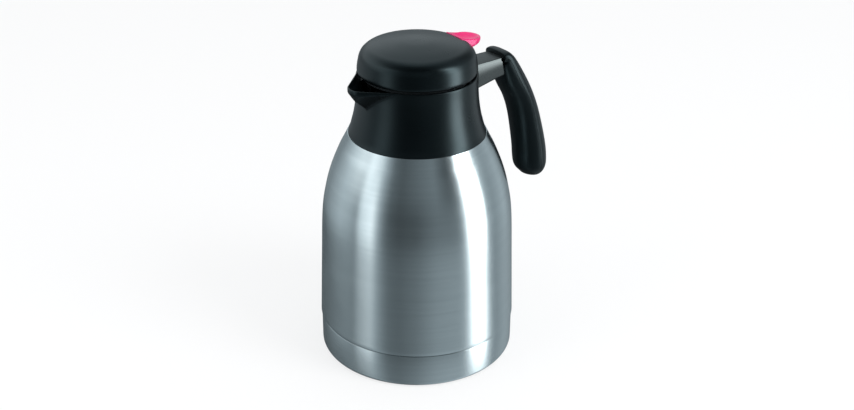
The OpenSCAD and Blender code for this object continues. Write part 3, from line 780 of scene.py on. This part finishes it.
# %% Fine grain
grain, source, target = new_group(
    "fine_grain", [("Vector", "NodeSocketVector", None), ("Size", "NodeSocketFloat", 1400.0)],
    [("Height", "NodeSocketFloat")])
cells = add(grain, "ShaderNodeTexVoronoi", feature="SMOOTH_F1")
grain.links.new(source.outputs["Vector"], cells.inputs["Vector"])
grain.links.new(source.outputs["Size"], cells.inputs["Scale"])
speckle = add(grain, "ShaderNodeTexNoise")
grain.links.new(source.outputs["Vector"], speckle.inputs["Vector"])
grain.links.new(math_node(grain, "MULTIPLY", source.outputs["Size"], 1.7), speckle.inputs["Scale"])
speckle.inputs["Detail"].default_value = 2.0
both = math_node(grain, "MULTIPLY_ADD", cells.outputs["Distance"], 0.7)
grain.links.new(speckle.outputs["Fac"], both.node.inputs[2])
grain.links.new(both, target.inputs["Height"])

# %% Handling
handling, source, target = new_group(
    "handling",
    [("Vector", "NodeSocketVector", None), ("Least", "NodeSocketFloat", 0.3), ("Most", "NodeSocketFloat", 0.4)],
    [("Roughness", "NodeSocketFloat")])
haze = add(handling, "ShaderNodeTexNoise")
haze.inputs["Scale"].default_value = 35.0
haze.inputs["Detail"].default_value = 4.0
handling.links.new(source.outputs["Vector"], haze.inputs["Vector"])
spread = add(handling, "ShaderNodeMapRange")
spread.inputs["From Min"].default_value = 0.3
spread.inputs["From Max"].default_value = 0.7
handling.links.new(haze.outputs["Fac"], spread.inputs["Value"])
handling.links.new(source.outputs["Least"], spread.inputs["To Min"])
handling.links.new(source.outputs["Most"], spread.inputs["To Max"])
handling.links.new(spread.outputs["Result"], target.inputs["Roughness"])

# %% [markdown]
# ## Materials
#
# Each material has its own Principled shader. What varies over the surface comes from the groups, and what is
# the same everywhere is set on the shader. The steel's highlight is drawn out up and down, because its fine
# lines run round the body.

# %% Material helpers
def start_material(name, color, metallic=0.0):
    material = bpy.data.materials.new(name)
    material.use_nodes = True
    tree = material.node_tree
    shader = tree.nodes["Principled BSDF"]
    shader.inputs["Base Color"].default_value = (*color, 1)
    shader.inputs["Metallic"].default_value = metallic
    where = add(tree, "ShaderNodeTexCoord").outputs["Object"]
    return material, tree, shader, where


def use_group(tree, group, where, **values):
    node = add(tree, "ShaderNodeGroup", node_tree=group)
    tree.links.new(where, node.inputs["Vector"])
    for key, value in values.items():
        node.inputs[key].default_value = value
    return node


def tint(tree, shader, mask, dark, light):
    mix = add(tree, "ShaderNodeMix", data_type="RGBA")
    mix.inputs["A"].default_value = (*dark, 1)
    mix.inputs["B"].default_value = (*light, 1)
    tree.links.new(mask, mix.inputs["Factor"])
    tree.links.new(mix.outputs["Result"], shader.inputs["Base Color"])


def bump(tree, shader, height, depth):
    node = add(tree, "ShaderNodeBump")
    node.inputs["Distance"].default_value = depth
    node.inputs["Strength"].default_value = 1.0
    tree.links.new(height, node.inputs["Height"])
    tree.links.new(node.outputs["Normal"], shader.inputs["Normal"])


# %% Steel
def brushed_steel(name, dark, light, least, most, depth, anisotropic=0.8):
    material, tree, shader, where = start_material(name, light, 1.0)
    lines = use_group(tree, brushing, where)
    gloss = use_group(tree, handling, where, Least=least, Most=most)
    both = math_node(tree, "ADD", lines.outputs["Lines"], lines.outputs["Streaks"])
    tint(tree, shader, math_node(tree, "MULTIPLY", both, 0.5), dark, light)
    tree.links.new(gloss.outputs["Roughness"], shader.inputs["Roughness"])
    bump(tree, shader, lines.outputs["Lines"], depth)
    if anisotropic:
        shader.inputs["Anisotropic"].default_value = anisotropic
        shader.inputs["Anisotropic Rotation"].default_value = 0.25
        tangent = add(tree, "ShaderNodeTangent", direction_type="RADIAL", axis="Z")
        tree.links.new(tangent.outputs[0], shader.inputs["Tangent"])
    return material


steel_body = brushed_steel("steel_body", (0.49, 0.55, 0.57), (0.59, 0.65, 0.67), 0.21, 0.26, 0.0012 * MM, 0.85)
steel_flask = brushed_steel("steel_flask", (0.58, 0.6, 0.61), (0.66, 0.67, 0.68), 0.16, 0.22, 0.003 * MM)
steel_small = brushed_steel("steel_small", (0.5, 0.51, 0.52), (0.62, 0.63, 0.64), 0.25, 0.33, 0.002 * MM, 0)


# %% Plastics and rubber
def moulded(name, dark, light, least, most, size, depth, shine=0.5, cast=(0.68, 0.93, 1.0)):
    material, tree, shader, where = start_material(name, light)
    gloss = use_group(tree, handling, where, Least=least, Most=most)
    pattern = use_group(tree, grain, where, Size=size)
    tint(tree, shader, pattern.outputs["Height"], dark, light)
    tree.links.new(gloss.outputs["Roughness"], shader.inputs["Roughness"])
    bump(tree, shader, pattern.outputs["Height"], depth)
    shader.inputs["Specular Tint"].default_value = (*cast, 1)
    shader.inputs["Specular IOR Level"].default_value = shine
    return material


grain_depth = 0.01 * MM
soft_black = (0.0008, 0.0014, 0.0018)
pink_cast = (1.0, 0.5, 0.75)
collar_black = moulded("collar_black", (0.0003, 0.0006, 0.0008), soft_black, 0.26, 0.32, 1500.0, grain_depth, 0.34)
handle_black = moulded("handle_black", (0.0003, 0.0006, 0.0009), soft_black, 0.3, 0.36, 1100.0, grain_depth, 0.24)
stopper_black = moulded("stopper_black", (0.01, 0.011, 0.012), (0.016, 0.018, 0.02), 0.4, 0.5, 1500.0, grain_depth)
seal_rubber = moulded("seal_rubber", (0.45, 0.45, 0.42), (0.6, 0.6, 0.57), 0.55, 0.7, 900.0, grain_depth)
lever_pink = moulded("lever_pink", (0.66, 0.02, 0.13), (0.72, 0.03, 0.17), 0.14, 0.2, 600.0, 0.001 * MM, 0.4,
                     pink_cast)

# %% Arm plastic: a smooth side and a grained top
arm_black, tree, shader, where = start_material("arm_black", (0.001, 0.0016, 0.002))
normal = add(tree, "ShaderNodeTexCoord").outputs["Normal"]
up = add(tree, "ShaderNodeSeparateXYZ")
tree.links.new(normal, up.inputs[0])
top_mask = add(tree, "ShaderNodeMapRange", interpolation_type="SMOOTHSTEP")
top_mask.inputs["From Min"].default_value = 0.5
top_mask.inputs["From Max"].default_value = 0.9
tree.links.new(up.outputs["Z"], top_mask.inputs["Value"])
rough = add(tree, "ShaderNodeMapRange")
rough.inputs["To Min"].default_value = 0.11
rough.inputs["To Max"].default_value = 0.42
tree.links.new(top_mask.outputs["Result"], rough.inputs["Value"])
tree.links.new(rough.outputs["Result"], shader.inputs["Roughness"])
pattern = use_group(tree, grain, where, Size=700.0)
raised = math_node(tree, "MULTIPLY", pattern.outputs["Height"], top_mask.outputs["Result"])
bump(tree, shader, raised, 0.12 * MM)
shader.inputs["Specular Tint"].default_value = (0.88, 1.0, 1.0, 1)
shader.inputs["Specular IOR Level"].default_value = 0.6


# %% Give every piece its material
def dress(piece, material):
    piece.data.materials.clear()
    piece.data.materials.append(material)


for piece, material in ((body_shell, steel_body), (foot_cup, steel_body), (collar_ring, collar_black),
                        (lid_cover, collar_black), (lever, lever_pink), (handle_bar, arm_black),
                        (grip_back, handle_black), (grip_front, handle_black), (spring, steel_small)):
    dress(piece, material)
node_materials = {
    "vacuum_bottom": steel_flask, "seal_tip": steel_small, "inner_flask": steel_flask, "neck_gasket": seal_rubber,
    "grip_pins": steel_small, "plug_gasket": seal_rubber, "stopper_body": stopper_black, "lid_floor": stopper_black,
    "stem_seal": seal_rubber, "cap_screws": steel_small, "lever_pin": steel_small, "valve_stem": steel_small,
    "valve_disc": stopper_black, "valve_seal": seal_rubber,
}
for name, material in node_materials.items():
    dress(nodes[name], material)
print("materials:", len([m for m in bpy.data.materials if m.users]))

# %% [markdown]
# ## Studio
#
# The floor is pale and keeps a soft shadow. The jug's gloss shows what stands round it: a bright strip light
# to the camera's right, a weaker one to its left, dark cards near the camera and the white backdrop
# behind. These are painted into the world by direction, so they can be moved without touching a lamp.

# %% Camera
camera_yaw = math.radians(36.5)
camera_pitch = math.radians(27.303)
camera_roll = math.radians(0.18)
camera_far = 0.770
camera_up = 0.49862
focal_px = 1291.3
image_w = 854
sensor = 36.0

forward_flat = Vector((math.sin(camera_yaw), math.cos(camera_yaw), 0))
forward = forward_flat * math.cos(camera_pitch) + Vector((0, 0, -math.sin(camera_pitch)))
camera_data = bpy.data.cameras.new("camera")
camera_data.sensor_width = sensor
camera_data.lens = focal_px / image_w * sensor
camera_data.shift_x = 10.05 / image_w
camera_data.shift_y = 0.5 / image_w
camera = bpy.data.objects.new("camera", camera_data)
bpy.context.scene.collection.objects.link(camera)
camera.location = -forward_flat * camera_far + Vector((0, 0, camera_up))
turned = forward.to_track_quat("-Z", "Y").to_matrix() @ Matrix.Rotation(camera_roll, 3, "Z")
camera.rotation_euler = turned.to_euler()
bpy.context.scene.camera = camera

# %% Floor
floor_r = 4.0
floor_drop = 0.0002
floor_white = 0.7
pick_none()
bpy.ops.mesh.primitive_circle_add(vertices=128, radius=floor_r, fill_type="NGON", location=(0, 0, -floor_drop))
floor = bpy.context.object
floor.name = "floor"
paper = bpy.data.materials.new("paper")
paper.use_nodes = True
tree = paper.node_tree
shader = tree.nodes["Principled BSDF"]
shader.inputs["Base Color"].default_value = (0.86, 0.87, 0.88, 1)
shader.inputs["Roughness"].default_value = 0.9
white = add(tree, "ShaderNodeEmission")
white.inputs["Color"].default_value = (1, 1, 1, 1)
rays = add(tree, "ShaderNodeLightPath")
seen = math_node(tree, "MAXIMUM", rays.outputs["Is Camera Ray"], rays.outputs["Is Glossy Ray"])
seen = math_node(tree, "MAXIMUM", seen, rays.outputs["Is Transmission Ray"])
white_share = math_node(tree, "MULTIPLY", seen, floor_white)
mixed = add(tree, "ShaderNodeMixShader")
tree.links.new(white_share, mixed.inputs[0])
tree.links.new(shader.outputs[0], mixed.inputs[1])
tree.links.new(white.outputs[0], mixed.inputs[2])
tree.links.new(mixed.outputs[0], tree.nodes["Material Output"].inputs["Surface"])
dress(floor, paper)
floor.visible_glossy = False

# %% World
scene = bpy.context.scene
world = bpy.data.worlds.new("studio")
scene.world = world
world.use_nodes = True
tree = world.node_tree
direction = add(tree, "ShaderNodeTexCoord").outputs["Generated"]
turn_to_camera = add(tree, "ShaderNodeMapping")
turn_to_camera.inputs["Rotation"].default_value = (0, 0, math.pi / 2 + camera_yaw)
tree.links.new(direction, turn_to_camera.inputs["Vector"])
azimuth = add(tree, "ShaderNodeTexGradient", gradient_type="RADIAL")
tree.links.new(turn_to_camera.outputs[0], azimuth.inputs["Vector"])
height = add(tree, "ShaderNodeSeparateXYZ")
tree.links.new(direction, height.inputs[0])

# Brightness seen in gloss, by degrees to the right of the camera, from the floor up
low_ring = [(-180, 0.1), (-142, 0.1), (-103, 0.17), (-90, 0.22), (-77, 0.19), (-61, 0.36), (-54, 0.47),
            (-47, 0.38), (-34, 0.23), (-21, 0.22), (0, 0.32), (24, 0.48), (42, 0.52), (56, 0.52),
            (63, 0.56), (70, 0.7), (83, 1.25), (93, 0.85), (105, 0.34), (129, 0.5), (160, 0.3), (180, 0.1)]
middle_ring = [(-180, 0.25), (-142, 0.32), (-103, 0.7), (-90, 0.6), (-77, 0.38), (-70, 1.15), (-61, 1.5),
               (-55, 1.75), (-47, 0.58), (-40, 0.22), (-34, 0.11), (-21, 0.07), (0, 0.09), (24, 0.21),
               (42, 0.24), (50, 0.26), (57, 0.5), (62, 1.9), (69, 7.4), (83, 8.0), (90, 0.55), (105, 0.42),
               (129, 0.62), (150, 0.3), (180, 0.25)]
high_ring = [(-180, 1.0), (-150, 0.9), (-125, 1.3), (-103, 1.5), (-90, 1.75), (-77, 1.55), (-69, 1.8),
             (-61, 1.3), (-54, 1.05), (-47, 0.6), (-40, 0.36), (-34, 0.2), (-21, 0.14), (0, 0.22),
             (24, 0.3), (42, 0.1), (58, 0.1), (67, 9.0), (79, 8.0), (86, 1.6), (93, 0.95), (105, 0.55),
             (122, 0.4), (138, 0.15), (150, 0.2), (168, 0.8), (180, 1.0)]
top_ring = [(-180, 1.0), (-130, 0.6), (-90, 0.2), (-40, 0.04), (0, 0.03), (40, 0.04), (90, 0.3), (130, 0.6),
            (180, 1.0)]


def ring_of_light(stops):
    ramp = add(tree, "ShaderNodeValToRGB")
    points = ramp.color_ramp.elements
    while len(points) > 1:
        points.remove(points[-1])
    for i, (degrees, level) in enumerate(stops):
        point = points[0] if i == 0 else points.new(0.5 + degrees / 360)
        point.position = 0.5 + degrees / 360
        cool = 1 - min(level, 2) / 2
        point.color = (level * (0.96 - 0.12 * cool), level, level * (1.01 + 0.07 * cool), 1)
    tree.links.new(azimuth.outputs["Fac"], ramp.inputs["Fac"])
    return ramp.outputs["Color"]


def blend_by_height(low, high, from_z, to_z):
    fade = add(tree, "ShaderNodeMapRange", interpolation_type="SMOOTHSTEP")
    fade.inputs["From Min"].default_value = from_z
    fade.inputs["From Max"].default_value = to_z
    tree.links.new(height.outputs["Z"], fade.inputs["Value"])
    mix = add(tree, "ShaderNodeMix", data_type="RGBA")
    tree.links.new(fade.outputs["Result"], mix.inputs["Factor"])
    tree.links.new(low, mix.inputs["A"])
    tree.links.new(high, mix.inputs["B"])
    return mix.outputs["Result"]


gloss_view = ring_of_light(low_ring)
for ring, from_z, to_z in ((middle_ring, -0.43, -0.37), (high_ring, 0.0, 0.35), (top_ring, 0.6, 0.85)):
    gloss_view = blend_by_height(gloss_view, ring_of_light(ring), from_z, to_z)
rays = add(tree, "ShaderNodeLightPath")
choose = add(tree, "ShaderNodeMix", data_type="RGBA")
choose.inputs["A"].default_value = (0.85, 0.86, 0.87, 1)
tree.links.new(rays.outputs["Is Glossy Ray"], choose.inputs["Factor"])
tree.links.new(gloss_view, choose.inputs["B"])
seen = math_node(tree, "MAXIMUM", rays.outputs["Is Camera Ray"], rays.outputs["Is Transmission Ray"])
white_behind = add(tree, "ShaderNodeMix", data_type="RGBA")
white_behind.inputs["B"].default_value = (1, 1, 1, 1)
tree.links.new(seen, white_behind.inputs["Factor"])
tree.links.new(choose.outputs["Result"], white_behind.inputs["A"])
tree.links.new(white_behind.outputs["Result"], tree.nodes["Background"].inputs["Color"])

# %% Lamps
right = Vector((math.cos(camera_yaw), -math.sin(camera_yaw), 0))
jug_middle = Vector((0, 0, 0.12))


def lamp(name, place_at, size, power):
    data = bpy.data.lights.new(name, "AREA")
    data.shape = "DISK"
    data.size = size
    data.energy = power
    light = bpy.data.objects.new(name, data)
    bpy.context.scene.collection.objects.link(light)
    light.location = place_at
    aim = jug_middle - Vector(place_at)
    light.rotation_euler = aim.to_track_quat("-Z", "Y").to_euler()
    light.visible_glossy = False
    light.visible_camera = False


# Each lamp: its place in metres, its width in metres and its power in watts
lamp("key", right * 0.9 - forward_flat * 0.5 + Vector((0, 0, 1.1)), 0.7, 9)
lamp("fill", -right * 1.0 - forward_flat * 0.6 + Vector((0, 0, 0.7)), 0.9, 4)

# %% Finish
scene.view_settings.view_transform = "Standard"
